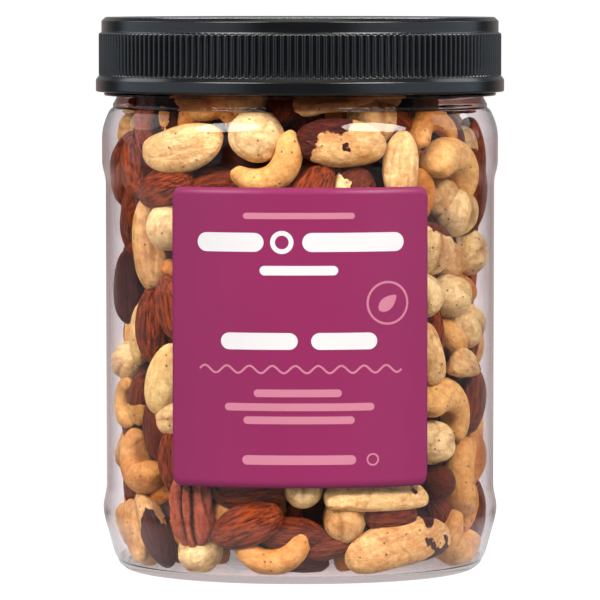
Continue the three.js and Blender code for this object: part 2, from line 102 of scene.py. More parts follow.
# ---- Label ----
LABEL_HALF = 35.0
LABEL_LOW = 27.1
LABEL_HIGH = 109.2
LABEL_CORNER = 2.8
LABEL_INNER = 0.32  # its back's and its front's distance from the jar's panel
LABEL_OUTER = 0.62
PRINT_RISE = 0.03
PRINT_STEP = 1.5  # printed shapes are bent with the label in steps of this length
LABEL_COLUMNS = 120
LABEL_ROWS = 41

# ---- Heap of nuts: the rule that places the solid's nuts ----
NUT_GAP = 0.75
ROOM_GAP = 0.35
FLOOR_TOP = 3.4
FLOOR_EDGE = 1.1
HEAP_TOP = 131
RIGHT_TOP = 116
KIND_VALUES = ("length", "spine", "curl", "width", "depth", "blunt", "taper", "ridge", "rings",
               "sides")
KINDS = {name: dict(zip(KIND_VALUES, row)) for name, row in {
    "brazil": (36, 36, 0.7, 16, 13.5, (0.72, 0.95), 0.06, 0.2, 4, 6),
    "pecan": (30, 30, 0.2, 17.5, 9, (0.75, 0.85), 0.04, 0, 4, 7),
    "cashew": (27, 29, 3.2, 9.4, 9.8, (0.42, 0.55), 0.14, 0, 5, 5),
    "almond": (23, 23, 0.1, 12.8, 8.4, (0.8, 1.25), 0.05, 0, 3, 6),
    "hazelnut": (14.6, 14.6, 0.1, 14, 13.6, (0.9, 1.1), 0, 0, 3, 6),
}.items()}

# Nuts that can be told apart through the front: across, up, turn, roll, behind, length, girth,
# then tone (0 is the kind's darkest colour, 1 its palest) and the share under dark skin, which is
# negative where a patch of skin lies at the nut's first end.
SEEN = {
    "brazil": [
        (-31.9, 119.9, 190, 20, 0, 27.5, 1.15, 1, 0), (10.8, 120.7, -4, 30, 0, 25, 1.3, 0.75, -0.31),
        (27.8, 114.4, 90, 0, 0, 20, 1.25, 0.95, 0), (9.5, 133.2, 10, 0, 0, 24, 1, 1, 0),
        (-41.5, 92.4, 104, 0, 2, 27, 1.05, 0.6, 0), (-48.1, 79.8, 94, 0, 0, 21, 1.05, 0.4, 0.97),
        (-46.0, 11.8, -52, 0, 0, 20, 1, 0.35, 0), (-40.6, 12.8, -48, 40, 1.5, 25, 1.1, 0.55, 0.45),
        (20.6, 24.0, -2, 0, 0, 31, 0.85, 1, 0.04), (26.9, 9.6, 8, 20, 0, 34.5, 0.98, 0.55, 0.15),
        (35.4, 62.6, 105, 0, 0, 18, 1.1, 0.75, 0), (45.3, 58.1, -5, 0, 0, 19, 1, 0.8, 0.15),
        (49.4, 47.0, 90, 0, 3, 16, 1, 0.75, 0),
    ],
    "pecan": [
        (-29.4, 21.2, 92, 0, 0, 24, 0.93, 0.5, 0),
    ],
    "cashew": [
        (-36.5, 126.0, 95, 0, 4, 22, 1, 0.5, 0), (-26.5, 128.6, 10, 0, 2.5, 22, 1, 0.4, 0),
        (-8.2, 114.6, 215, 0, 0, 24, 1, 0.7, 0), (42.3, 113.3, -25, 0, 0, 25, 1.2, 1, 0),
        (-27.0, 134.0, 175, 0, 0, 24, 1, 1, 0), (-48.4, 67.4, 90, 0, 3, 16, 1, 0.6, 0),
        (-48.9, 47.4, 90, 0, 0, 15, 1.15, 0.75, 0), (-44.8, 30.9, 145, 0, 0, 23, 1.15, 0.35, 0),
        (-7.7, 7.0, 183, 0, 0, 24.5, 0.95, 0.45, 0), (40.5, 46.8, -28, 0, 0, 26, 1.1, 0.95, 0),
        (45.6, 27.0, 88, 0, 0, 26, 0.9, 0.55, 0),
    ],
    "almond": [
        (-49.7, 112.2, 84, 70, 0, 22, 1, 0.45, 1), (-37.4, 108.9, 195, 15, 0, 22.5, 1, 0.6, 1),
        (-21.7, 107.0, 10, 0, 3, 22, 1, 0.3, 1), (26.9, 125.0, -35, 20, 4, 18, 1, 0.2, 1),
        (-3.0, 135.0, 70, 30, 1, 20, 1, 0.1, 1), (-49.6, 97.0, 92, 60, 2, 18, 1, 0.2, 1),
        (-40.9, 69.8, 95, 0, 2, 21, 1, 0.5, 1), (-35.0, 75.9, 105, 0, 0, 18.5, 1.05, 0.75, 1),
        (-37.1, 55.6, 70, 0, 0, 21, 1.05, 0.8, 0), (-45.1, 48.6, 75, 20, 2.5, 15.5, 1, 0.2, 0.85),
        (-39.0, 41.9, 100, 20, 4, 21, 1, 0.05, 1), (-34.0, 34.2, 85, 40, 2, 20, 1, 0.5, 1),
        (-14.6, 16.2, 202, 10, 0, 21.5, 1, 0.5, 0.97), (-12.4, 25.4, 5, 0, 3, 22, 1, 0.3, 1),
        (-1.8, 13.6, 0, 0, 2.5, 18, 1, 0.15, 1), (7.2, 10.6, 10, 0, 3.5, 15, 1, 0.2, 1),
        (49.8, 98.4, 90, 60, 2.5, 16, 1, 0.15, 1), (48.6, 79.8, 75, 30, 4, 18, 1, 0.15, 1),
        (48.6, 15.6, 80, 50, 1, 24, 1.05, 0.2, 1),
    ],
    "hazelnut": [
        (-47.8, 122.4, 0, 0, 2, 12, 1, 0.3, 0.1), (-11.5, 122.6, -15, 0, 0, 15.7, 0.95, 1, 0.05),
        (14.0, 108.2, 60, 0, 0, 13.5, 1, 0.85, 0.3), (20.2, 127.6, -80, 0, 1, 15, 0.95, 0.5, 0),
        (46.7, 118.6, 0, 0, 4, 12.5, 1, 0.6, 0.1), (37.6, 105.6, 0, 0, 4, 13.5, 1, 0.5, 0.1),
        (-14.5, 134.2, 40, 0, 0, 14, 1, 1, 0), (21.5, 135.0, 0, 0, 0, 14, 1, 1, 0),
        (-35.6, 97.8, 70, 0, 0, 14, 1, 0.9, 0.05), (-47.1, 58.4, 30, 0, 0, 12.4, 1, 0.85, 0),
        (-33.2, 44.6, 0, 0, 2, 13, 1, 0.9, 0), (-27.2, 7.4, 20, 0, 0, 13, 1, 1, 0),
        (0.8, 26.8, 90, 0, 0, 12, 1, 0.95, 0), (11.4, 17.6, -90, 0, 2.5, 14, 0.9, 0.4, 0),
        (42.5, 101.2, 70, 0, 0, 14.3, 1, 1, 0), (35.2, 91.6, 90, 0, 0, 15, 0.95, 0.8, 0.25),
        (46.3, 89.3, 20, 0, 0, 14, 1, 0.9, 0.05), (33.4, 78.6, 90, 0, 0, 12.5, 1, 1, 0),
        (41.2, 78.1, 0, 0, 0.5, 13, 1, 0.95, 0), (45.1, 68.8, -45, 0, 0, 14, 1, 1, 0),
        (36.3, 37.4, 0, 0, 0, 13.2, 1, 1, 0), (38.0, 26.2, 0, 0, 0.5, 10, 1, 0.3, 1),
    ],
}
SPREAD = [("brazil", 15), ("pecan", 7), ("cashew", 22), ("almond", 34), ("hazelnut", 26)]
ON_FLOOR = [("brazil", 3), ("cashew", 2), ("almond", 4), ("hazelnut", 2)]
TRIES = 80
SIZE_RANGE = (0.9, 1.08)
ROLL_RANGE = 25
EDGE_ON_SHARE = 0.2
FLOOR_RADIUS = 38
LABEL_HIDES = 5
BEADS = (0.22, 0.41, 0.59, 0.78)
BEAD_SIZE = 0.86
SEED = 20261

# ---- Heap of nuts: what only shows here ----
GAP_FILL = [("almond", 26), ("cashew", 18), ("hazelnut", 36)]
GAP_OVERLAP = -1.6  # these may press this deep into others
GAP_BEHIND = 2.2  # how far behind the wall
GAP_SIZES = (0.7, 0.95)
SECOND_LAYER = [("brazil", 18), ("cashew", 40), ("almond", 66), ("hazelnut", 50)]
SECOND_BEHIND = (4.5, 8.5)  # how far behind the wall
SECOND_OVERLAP = -2.6
# Painted shade: how much lower the tone of the nuts behind the first layer is.
SECOND_LAYER_SHADE = 0.4
TONES = (0.1, 0.8)  # of the nuts that aren't placed from the photo
BLANCHED = 0.06  # share of their almonds without skin
ALMOND_SKIN = (0.93, 1)
# Their Brazil nuts' and hazelnuts' shares under skin, and the chance of each.
SKIN_SHARES = [0, 0.05, -0.15, 0.3, -0.45, 0.97]
SKIN_CHANCES = [0.4, 0.2, 0.12, 0.1, 0.1, 0.08]
# How low a nut may reach: distance from the axis and height.
LOWEST = [(0, 3.7), (20, 3.6), (36, 3.2), (43, 2.1), (45.5, 1.5), (60, 1.5)]
# Painted shade behind them, a dark core: height, half width, half depth and shift to the left.
CORE = [
    (7.5, 38, 36, 0), (13, 44, 43, 0), (18, 45.5, 44, 0), (108, 45.5, 44, 0), (118, 44, 42, 3),
    (128, 43, 41, 4), (138, 42, 40, 4),
]
# Rings of points along each nut and points in a ring.
DETAIL = {"brazil": (36, 44), "pecan": (56, 84), "cashew": (40, 32), "almond": (26, 40),
          "hazelnut": (24, 40)}
SECOND_DETAIL = (14, 20)
PATCH_LEAN = 1.9  # how strongly a patch of skin keeps to one end of its nut

# ---- Studio ----
AMBIENT = 0.055  # brightness of the surroundings, beside 1 for plain white
BACKDROP = 0.36  # and behind the jar
BACKDROP_RANGE = (0.66, 0.98)  # how far a direction leans to the back as that begins and is full
BACKDROP_COLOUR = (1.0, 0.74, 0.71)
FLOOR_GLOW = 0.97  # keeps the floor pale as far as the horizon
NEAR_GLOW = 0.5  # brightness of the floor round the jar, mirrored in its foot
NEAR_RANGE = (0.07, 0.15)  # how far from the jar's axis that begins to fade and is gone
SKY_GLOW = 1.05  # brightness of the surroundings where the camera sees them
FLOOR_HALF = 60000  # in millimetres
CAMERA_PLACE = (0, -1.3834, 0.16254)
CAMERA_TILT = 0.06311
CAMERA_LENS = 293.2
CAMERA_SENSOR = 36
WARM, COOL, WHITE = (1, 0.97, 0.93), (0.74, 0.87, 1), (1, 1, 1)
# Lights at both sides: place of the right one, height it aims at, size, power, how much more power
# the right one has than the middle of both, and colour.
PAIRED_LIGHTS = [
    ("panel", (1.25, -0.3, 0.35), 0.1, (3.2, 0.8), 5.4, 0, COOL),
    ("key", (0.85, -0.95, 1.0), 0.08, (1.0, 0.5), 27.5, 2, WARM),
    ("side", (1.2, 0.5, 0.9), 0.1, (0.9, 0.7), 3, 0, WHITE),
    ("back", (0.35, 1.15, 1.5), 0.08, (0.8, 0.5), 18, 0, WARM),
]
TOP_LIGHT = ("softbox_top", (0, -0.25, 1.3), 0.1, (1.0, 0.8), 2, WHITE)

# ---- Colours ----
FLOOR_COLOURS = ((0.045, 0.045, 0.045), (0.055, 0.055, 0.055))
LID_COLOURS = ((0.0025, 0.0028, 0.0034), (0.0045, 0.005, 0.006))
# Colours of the core: painted shade, dark browns for the nuts deep in the heap.
CORE_SHADE_COLOURS = ((0.022, 0.005, 0.003), (0.085, 0.022, 0.010))
# Colour and roughness of the label's film and its two inks.
FILM = {
    "label_magenta": ((0.236, 0.0205, 0.091), 0.38),
    "print_white": ((0.68, 0.66, 0.67), 0.45),
    "print_pink": ((0.52, 0.185, 0.265), 0.45),
}

# Darkest and palest colour of each kind's kernel, and its skin, as seen in daylight.
KERNEL = {
    "brazil": ((0.54, 0.22, 0.035), (1.0, 0.72, 0.32)),
    "pecan": ((0.10, 0.018, 0.007), (0.60, 0.155, 0.075)),
    "cashew": ((0.60, 0.21, 0.025), (1.0, 0.62, 0.215)),
    "almond": ((0.70, 0.36, 0.08), (1.0, 0.80, 0.34)),
    "hazelnut": ((0.58, 0.26, 0.05), (1.0, 0.79, 0.39)),
}
SKIN = {
    "brazil": ((0.03, 0.004, 0.002), (0.11, 0.015, 0.007)),
    "almond": ((0.055, 0.005, 0.001), (0.42, 0.074, 0.010)),
    "hazelnut": ((0.05, 0.007, 0.003), (0.19, 0.032, 0.009)),
}
# Colour at the bottom of a kind's furrows and dents, and how deep in millimetres that is.
# That colour is partly the kernel's own brown and partly painted shade.
HOLLOW_BROWN_AND_SHADE = {
    "brazil": (0.42, 0.18, 0.05), "pecan": (0.028, 0.006, 0.003), "cashew": (0.40, 0.14, 0.028),
    "almond": (0.05, 0.011, 0.005), "hazelnut": (0.36, 0.15, 0.04),
}
HOLLOW_DEPTH = {"brazil": 0.7, "pecan": 2.6, "cashew": 0.8, "almond": 0.7, "hazelnut": 0.75}
# Least roughness, and the shares of brown streaks along a kernel and of brown veins on it.
GLOSS = {"brazil": 0.28, "pecan": 0.16, "cashew": 0.28, "almond": 0.2, "hazelnut": 0.26}
STREAKS = {"brazil": 0.5, "pecan": 0.7, "cashew": 0.25, "almond": 0.4, "hazelnut": 0.3}
VEINS = {"brazil": 0.35, "pecan": 0.0, "cashew": 0.3, "almond": 0.2, "hazelnut": 0.4}
STREAK_COLOUR = (0.74, 0.55, 0.38)
VEIN_COLOUR = (0.55, 0.33, 0.17)
MOTTLE = 0.5
MOTTLE_COLOURS = ((0.68, 0.52, 0.38), (1.05, 1.05, 1.08))
SPECK_COLOUR = (0.10, 0.035, 0.012)
BLOTCHES = 1.5  # how far blotches change a kernel's tone


# ---- Shape of the jar ----

def superellipse(bearing, half):
    along = np.abs(np.cos(bearing)) ** SQUARENESS
    across = np.abs(np.sin(bearing)) ** SQUARENESS
    return half / (along + across) ** (1 / SQUARENESS)


def body_half(height):
    heights, halves = zip(*BODY)
    return np.interp(height, heights, halves)


def wall_radius(bearing, height, inset):
    """Distance from the axis to the jar's wall, or to a surface that lies inset inside it."""
    height = np.asarray(height, float)
    neck = NECK_RADIUS - inset
    body = superellipse(bearing, body_half(height) - inset)
    share = np.clip((NECK_BASE - height) / (NECK_BASE - SHOULDER_LOW), 0, 1)
    return neck + (body - neck) * np.sin(share * pi / 2)


def smooth_radius(bearing, height, inset):
    """The wall's radius with the profile's corners rounded and the shoulder's crease pressed in."""
    offsets = np.linspace(-1, 1, 7) * BODY_ROUNDING
    heights = np.clip(height + offsets, 0, NECK_BASE)
    weights = 1 - np.abs(np.linspace(-0.85, 0.85, 7))
    radii = [wall_radius(bearing, h, inset) for h in heights]
    crease = CREASE_DEPTH * math.exp(-((height - CREASE_HEIGHT) / CREASE_WIDTH) ** 2)
    return sum(w * r for w, r in zip(weights, radii)) / weights.sum() - crease


def at_bearing(bearing, radius, height):
    return np.stack(np.broadcast_arrays(
        radius * np.sin(bearing), -radius * np.cos(bearing), np.asarray(height, float)), -1)


# ---- Meshes ----

def add_object(name, data):
    made = bpy.data.objects.new(name, data)
    bpy.context.scene.collection.objects.link(made)
    return made


def make_mesh(name, points, faces):
    """A smooth mesh object from points in millimetres."""
    mesh = bpy.data.meshes.new(name)
    mesh.from_pydata((np.asarray(points, float) * MM).tolist(), [], faces)
    mesh.polygons.foreach_set("use_smooth", [True] * len(mesh.polygons))
    mesh.update()
    return add_object(name, mesh)


def ring_faces(rows, columns):
    """Quads between rows of points that close round."""
    faces = []
    for low in range(0, (rows - 1) * columns, columns):
        high = low + columns
        for j in range(columns):
            k = (j + 1) % columns
            faces.append((low + j, low + k, high + k, high + j))
    return faces


def capped_faces(rows, columns):
    """As ring_faces, with triangles to one more point at each end."""
    faces = ring_faces(rows, columns)
    last = (rows - 1) * columns
    first_end = rows * columns
    for j in range(columns):
        k = (j + 1) % columns
        faces.append((first_end, k, j))
        faces.append((first_end + 1, last + j, last + k))
    return faces


def closed_skin(rings):
    """Points and faces through rings of equal length, closed at both ends by a point."""
    ends = [rings[0].mean(0), rings[-1].mean(0)]
    return np.concatenate([*rings, ends]), capped_faces(len(rings), len(rings[0]))


def rings_at(bearings, rows):
    """A ring for each row of a radius, or radii, and a height."""
    return [at_bearing(bearings, radius, height) for radius, height in rows]


def jar_piece():
    bearings = np.linspace(0, 2 * pi, JAR_COLUMNS, endpoint=False)

    def squared(rows):
        return rings_at(bearings, [(superellipse(bearings, half), height) for half, height in rows])

    def wall(inset, heights):
        return rings_at(bearings, [(smooth_radius(bearings, h, inset), h) for h in heights])

    body_heights = np.concatenate([np.linspace(*row) for row in BODY_ROWS])
    foot = squared([
        (3, PUSH_UP), (20, PUSH_UP - 0.1), (36, PUSH_UP - 0.5), (42, 0.9), (44, 0.2), (45, 0),
        (48.9, 0.0), (49.9, 0.15), (50.7, 0.7), (51.5, 1.4),
    ])
    mouth = rings_at(bearings, [
        (NECK_RADIUS, NECK_BASE), (RING_RADIUS - 0.2, NECK_BASE), (RING_RADIUS, NECK_BASE + 0.2),
        (RING_RADIUS, RING_TOP - 0.2), (RING_RADIUS - 0.2, RING_TOP), (MOUTH_RADIUS, RING_TOP),
        (MOUTH_RADIUS, MOUTH_TOP), (NECK_RADIUS - WALL, MOUTH_TOP),
        (NECK_RADIUS - WALL, NECK_BASE + 0.6),
    ])
    inner_floor = squared([
        (47, 1.0), (45.5, 1.0), (43, 1.7), (36, PUSH_UP + 0.4), (20, PUSH_UP + 0.8),
        (3, PUSH_UP + WALL),
    ])
    outside = foot + wall(0, body_heights) + mouth
    inside = wall(WALL, body_heights[::-1]) + inner_floor
    return make_mesh("jar_clear", *closed_skin(outside + inside))


def rib_radius(bearings, height):
    """The lid's radius where its ribs are: narrow grooves that run out at both ends."""
    phase = bearings * RIBS / (2 * pi)
    away = np.abs(phase - np.round(phase)) / (GROOVE_SHARE / 2)
    groove = np.clip(1 - away ** 2, 0, 1)
    inside = min(height - RIB_LOW, RIB_HIGH - height)
    fade = min(1, max(0, inside + 0.1) / 0.7)
    crown = 0.12 * np.cos(phase * 2 * pi)
    return RIB_RADIUS - 0.12 - crown * fade - GROOVE_DEPTH * groove * math.sqrt(fade)


def lid_piece():
    bearings = np.linspace(0, 2 * pi, RIBS * RIB_COLUMNS, endpoint=False)
    bore, low, edge, band_edge = LID_BORE, LID_BOTTOM, FLANGE_RADIUS, LID_BAND_RADIUS
    inner = [
        (1, LID_CEILING), (20, LID_CEILING), (bore - 0.4, LID_CEILING), (bore, LID_CEILING - 0.4),
        (bore, 145), (bore, low + 0.3), (bore, low + 0.2), (bore + 0.3, low),
    ]
    flange = [
        (edge - 0.35, low), (edge - 0.1, low + 0.1), (edge, low + 0.35), (edge, low + 0.7),
        (edge, FLANGE_TOP - 0.25), (edge, FLANGE_TOP - 0.1), (edge - 0.05, FLANGE_TOP),
        (edge - 0.12, FLANGE_TOP + 0.15), (FLANGE_INNER, RIB_LOW - 0.2),
        (FLANGE_INNER - 0.05, RIB_LOW - 0.1), (FLANGE_INNER - 0.2, RIB_LOW),
    ]
    rib_heights = [RIB_LOW, RIB_LOW + 0.3, RIB_LOW + 0.7, 142, 145, 148, RIB_HIGH - 0.7,
                   RIB_HIGH - 0.3, RIB_HIGH]
    ribs = [(rib_radius(bearings, height), height) for height in rib_heights]
    top_band = [
        (band_edge + 0.1, RIB_HIGH + 0.25), (band_edge, RIB_HIGH + 0.6), (band_edge, RIB_HIGH + 0.9),
        (band_edge, 154.0), (band_edge, 154.15), (band_edge - 0.07, 154.25),
        (band_edge - 0.2, 154.38), (55.15, 155.09), (55.02, 155.2), (54.9, 155.26),
    ]
    top = [
        (54.7, LID_TOP), (54.4, LID_TOP), (51, LID_TOP), (50.4, LID_TOP - 0.25),
        (49.8, LID_TOP - 0.3), (20, LID_TOP - 0.3), (1, LID_TOP - 0.3),
    ]
    rings = rings_at(bearings, inner + flange + ribs + top_band + top)
    return make_mesh("lid_black", *closed_skin(rings))


# ---- Label and its print ----

def on_panel(across, height, rise):
    """A point rise outside the jar's front panel, from its distance across the flat label."""
    bearing = np.asarray(across, float) / PANEL_HALF
    return at_bearing(bearing, superellipse(bearing, PANEL_HALF) + rise, height)


def label_piece():
    """Rings down the label's front and up its back, side by side, closed at both sides."""
    bearings = np.linspace(0, 1.2, 2000)
    beside = superellipse(bearings, PANEL_HALF + LABEL_OUTER) * np.sin(bearings)
    reach = np.interp(LABEL_HALF, beside, bearings) * PANEL_HALF    # its flat half width
    rings = []
    for across in reach * np.linspace(-1, 1, LABEL_COLUMNS + 1):
        into_corner = max(0, abs(across) - (reach - LABEL_CORNER))
        drop = LABEL_CORNER - math.sqrt(max(0, LABEL_CORNER ** 2 - into_corner ** 2))
        down = np.linspace(LABEL_HIGH - drop, LABEL_LOW + drop, LABEL_ROWS)
        rings.append(np.concatenate([on_panel(across, down, LABEL_OUTER),
                                     on_panel(across, down[::-1], LABEL_INNER)]))
    around = 2 * LABEL_ROWS
    last = LABEL_COLUMNS * around
    faces = ring_faces(len(rings), around)
    for j in range(LABEL_ROWS - 1):
        back = around - 1 - j
        faces.append((j + 1, j, back, back - 1))
        faces.append((last + j + 1, last + back - 1, last + back, last + j))
    return make_mesh("label_film", np.concatenate(rings), faces)


def band(top_line, bottom_line):
    """Quads of a flat printed shape between two lines with the same number of points."""
    points = [on_panel(x, z, LABEL_OUTER + PRINT_RISE) for x, z in [*top_line, *bottom_line]]
    count = len(top_line)
    faces = [(count + i, count + i + 1, i + 1, i) for i in range(count - 1)]
    return points, faces


def bar(left, right, height, thick):
    """A bar with round ends."""
    radius = thick / 2
    inner = np.arange(left + radius, right - radius, PRINT_STEP)
    turn = np.linspace(0, pi / 2, 7)
    across = np.concatenate([left + radius * (1 - np.cos(turn)), inner[1:],
                             right - radius * (1 - np.cos(turn[::-1]))])
    rise = np.concatenate([radius * np.sin(turn), np.full(len(inner[1:]), radius),
                           radius * np.sin(turn[::-1])])
    return band(list(zip(across, height + rise)), list(zip(across, height - rise)))


def ribbon(line, thick):
    """A line of even thickness through flat points."""
    line = np.array(line, float)
    along = np.gradient(line, axis=0)
    normal = np.stack([-along[:, 1], along[:, 0]], 1)
    normal /= np.linalg.norm(normal, axis=1)[:, None]
    return band(line + normal * thick / 2, line - normal * thick / 2)


def circle(x, z, radius, thick):
    turn = np.linspace(0, 2 * pi, 49)
    return ribbon(np.stack([x + radius * np.sin(turn), z + radius * np.cos(turn)], 1), thick)


def wave(left, right, height, swing, length, thick):
    across = np.arange(left, right, 0.4)
    rise = swing * np.sin((across - left) * 2 * pi / length)
    return ribbon(np.stack([across, height + rise], 1), thick)


def kernel_shape(x, z, length, width, lean):
    """A nut seen from its side: round at one end and pointed at the other."""
    share = np.linspace(0, 1, 25)
    along = length * (share - 0.5)
    reach = width / 2 * np.sin(pi * share ** 0.8) ** 0.75
    c, s = math.cos(lean), math.sin(lean)
    upper = np.stack([x + along * c - reach * s, z + along * s + reach * c], 1)
    lower = np.stack([x + along * c + reach * s, z + along * s - reach * c], 1)
    return band(upper, lower)


def print_piece(name, shapes):
    points, faces = [], []
    for shape_points, shape_faces in shapes:
        start = len(points)
        points += list(shape_points)
        faces += [tuple(start + i for i in face) for face in shape_faces]
    return make_mesh(name, points, faces)


def label_print():
    """Plain bars, a ring with a nut and a wave, where a pack carries its words."""
    white = [
        bar(-28.2, -9.8, 94.3, 5.2), circle(-4.9, 94.3, 2.5, 1.3), bar(0.6, 28.6, 94.3, 5.2),
        bar(-10.9, 10.3, 86.6, 2.6), bar(-21.5, -0.6, 67.3, 4.6), bar(3.0, 21.0, 67.3, 4.6),
    ]
    pink = [
        bar(-15.4, 14.8, 101.5, 1.7), circle(24.0, 77.6, 5.7, 0.6),
        kernel_shape(24.0, 77.6, 6.4, 3.6, 0.7), wave(-27.6, 28.2, 59.6, 1.0, 6.2, 0.55),
        bar(-12.5, 11.3, 53.1, 2.1), bar(-20.4, 20.2, 49.3, 2.1), bar(-15.3, 14.8, 45.7, 2.1),
        bar(-15.6, 15.2, 34.8, 2.6), circle(19.8, 34.8, 1.5, 0.45),
    ]
    return print_piece("label_print_white", white), print_piece("label_print_pink", pink)


# ---- Places of the nuts ----

def seeded_draws(seed):
    """The same draws between 0 and 1 as the solid's."""
    while True:
        seed = (seed * 1664525 + 1013904223) % 4294967296
        yield seed / 4294967296


def half_width_at(kind, share):
    first, last = kind["blunt"]
    swell = np.sin(pi * share) ** (first + (last - first) * share)
    return kind["width"] / 2 * swell * (1 + kind["taper"] * np.cos(pi * share))


def spine_at(kind, share):
    swing = -np.cos(pi * share) / 2 * kind["curl"]
    radius = kind["spine"] / kind["curl"]
    middle = math.sin(kind["curl"] / 2) / (kind["curl"] / 2)
    point = np.stack([radius * np.sin(swing), radius * (np.cos(swing) - middle), 0 * swing], -1)
    outward = np.stack([np.sin(swing), np.cos(swing), 0 * swing], -1)
    return point, outward


def reach_at(kind, share, around, girth):
    """Distance from a nut's spine to its skin, without the skin's relief."""
    facet = 1 - kind["ridge"] * (1 - np.cos(3 * around)) / 2
    return half_width_at(kind, share) * girth * facet


def nut_points(kind, shares, around, reach, scale):
    """Rings of points along a nut's spine, then its two ends, in the nut's own frame."""
    point, outward = spine_at(kind, shares)
    rings = point[:, None, :] + outward[:, None, :] * (reach * np.cos(around))[..., None]
    rings[..., 2] = reach * np.sin(around) * kind["depth"] / kind["width"]
    ends, _ = spine_at(kind, np.array([0.0, 1.0]))
    return np.concatenate([rings.reshape(-1, 3), ends]) * scale


def rough_nut(kind, scale, girth):
    """The solid's few points of a nut, which decide where it rests."""
    swell = math.cos(pi / kind["sides"]) ** -0.5
    shares = np.arange(1, kind["rings"] + 1) / (kind["rings"] + 1)
    around = np.arange(kind["sides"]) / kind["sides"] * 2 * pi
    reach = reach_at(kind, shares[:, None], around, girth * swell)
    return nut_points(kind, shares, around, reach, scale)


def nut_turn(outward, turn, roll):
    """Rotations that point a nut's depth out through the wall, one for each row of outward."""
    turn, roll = np.radians(turn), np.radians(roll)
    level = np.cross([0.0, 0.0, 1.0], outward)
    flat = np.abs(outward[:, 2]) > 0.9
    level[flat] = [1, 0, 0]
    level /= np.linalg.norm(level, axis=1)[:, None]
    rise = np.cross(outward, level)
    along = level * np.cos(turn)[:, None] + rise * np.sin(turn)[:, None]
    across = np.cross(outward, along)
    c, s = np.cos(roll)[:, None], np.sin(roll)[:, None]
    return np.stack([along, across * c + outward * s, outward * c - across * s], -1)


def wall_normal(bearing, height):
    step = 0.01
    before = at_bearing(bearing - step, wall_radius(bearing - step, height, WALL), 0)
    after = at_bearing(bearing + step, wall_radius(bearing + step, height, WALL), 0)
    along = after - before
    normal = np.stack([along[:, 1], -along[:, 0], 0 * along[:, 0]], -1)
    return normal / np.linalg.norm(normal, axis=1)[:, None]


def beads_of(kind, scale, girth, basis, place):
    shares = np.array(BEADS)
    spots = spine_at(kind, shares)[0] * scale
    at = np.einsum("nij,pj->npi", basis, spots) + place[:, None, :]
    slim = math.sqrt(kind["depth"] / kind["width"])
    radius = half_width_at(kind, shares) * scale * girth * slim * BEAD_SIZE
    return at, radius


def place_on_wall(name, bearing, height, turn, roll, behind, scale, girth):
    """Rests nuts against the wall, one for each bearing: their rotations and places."""
    kind = KINDS[name]
    outward = wall_normal(bearing, height)
    basis = nut_turn(outward, turn, roll)
    points = np.einsum("nij,pj->npi", basis, rough_nut(kind, scale, girth))
    place = at_bearing(bearing, wall_radius(bearing, height, WALL), height)
    place[:, 2] = np.maximum(height, FLOOR_EDGE + NUT_GAP - points[..., 2].min(1))
    for _ in range(5):
        at = points + place[:, None, :]
        wall = wall_radius(np.arctan2(at[..., 0], -at[..., 1]), at[..., 2], WALL)
        gap = (wall - np.hypot(at[..., 0], at[..., 1])).min(1)
        place += outward * (gap - NUT_GAP)[:, None]
    place -= outward * behind[:, None]
    return basis, place


def place_on_floor(name, spot, turn, roll, scale):
    kind = KINDS[name]
    down = np.tile([0.0, 0.0, -1.0], (len(spot), 1))
    basis = nut_turn(down, turn, roll)
    points = np.einsum("nij,pj->npi", basis, rough_nut(kind, scale, 1))
    place = spot.copy()
    place[:, 2] = FLOOR_TOP + NUT_GAP - points[..., 2].min(1)
    return basis, place


def nut_record(name, scale, girth, basis, place, tone, skin):
    at, radius = beads_of(KINDS[name], scale, girth, basis[None], place[None])
    return dict(name=name, scale=scale, girth=girth, basis=basis, place=place, tone=tone, skin=skin,
                bead_at=at[0], bead_radius=radius)


def front_bearing(across, height, inset):
    near, far = 0.0, pi / 2
    for _ in range(30):
        middle = (near + far) / 2
        if wall_radius(middle, height, inset) * math.sin(middle) < abs(across):
            near = middle
        else:
            far = middle
    return math.copysign(near, across)


def seen_nut(name, across, up, turn, roll, behind, length, girth, tone, skin):
    kind = KINDS[name]
    scale = length / kind["length"]
    inset = WALL + NUT_GAP + behind + kind["depth"] * scale * girth / 2
    bearing = front_bearing(across, up, inset)
    where = (np.array([float(value)]) for value in (bearing, up, turn, roll, behind))
    basis, place = place_on_wall(name, *where, scale, girth)
    return nut_record(name, scale, girth, basis[0], place[0], tone, skin)


def heap_top(bearing):
    to_right = np.maximum(0, np.sin(bearing)) ** 4
    return HEAP_TOP + (RIGHT_TOP - HEAP_TOP) * to_right


def behind_label(bearing, height):
    across = np.abs(wall_radius(bearing, height, WALL) * np.sin(bearing))
    side = (np.cos(bearing) > 0) & (across < LABEL_HALF - LABEL_HIDES)
    return side & (height > LABEL_LOW + LABEL_HIDES) & (height < LABEL_HIGH - LABEL_HIDES)


def roll_from(draws):
    lean = (2 * draws[:, 3] - 1) * ROLL_RANGE
    return np.where(draws[:, 4] < EDGE_ON_SHARE, 90 + lean, lean)


def tries_at(name, scale, draws, roll, behind):
    """Nuts along the wall, one for each row of draws: rotations, places and which are allowed."""
    bearing = (2 * draws[:, 0] - 1) * pi
    height = FLOOR_EDGE + (heap_top(bearing) - FLOOR_EDGE) * draws[:, 1]
    basis, place = place_on_wall(name, bearing, height, 360 * draws[:, 2], roll, behind, scale, 1)
    return basis, place, ~behind_label(bearing, height)


def wall_tries(name, scale, draws):
    return tries_at(name, scale, draws, roll_from(draws), np.zeros(len(draws)))


def gap_tries(name, scale, draws):
    """As wall_tries, for the nuts that fill gaps from behind."""
    basis, place, allowed = wall_tries(name, scale, draws)
    outward = wall_normal(np.arctan2(place[:, 0], -place[:, 1]), place[:, 2])
    return basis, place - outward * GAP_BEHIND, allowed


def inner_tries(name, scale, draws):
    """As wall_tries, for the nuts behind the first layer."""
    nearest, farthest = SECOND_BEHIND
    behind = nearest + (farthest - nearest) * draws[:, 4]
    return tries_at(name, scale, draws, 360 * draws[:, 3], behind)


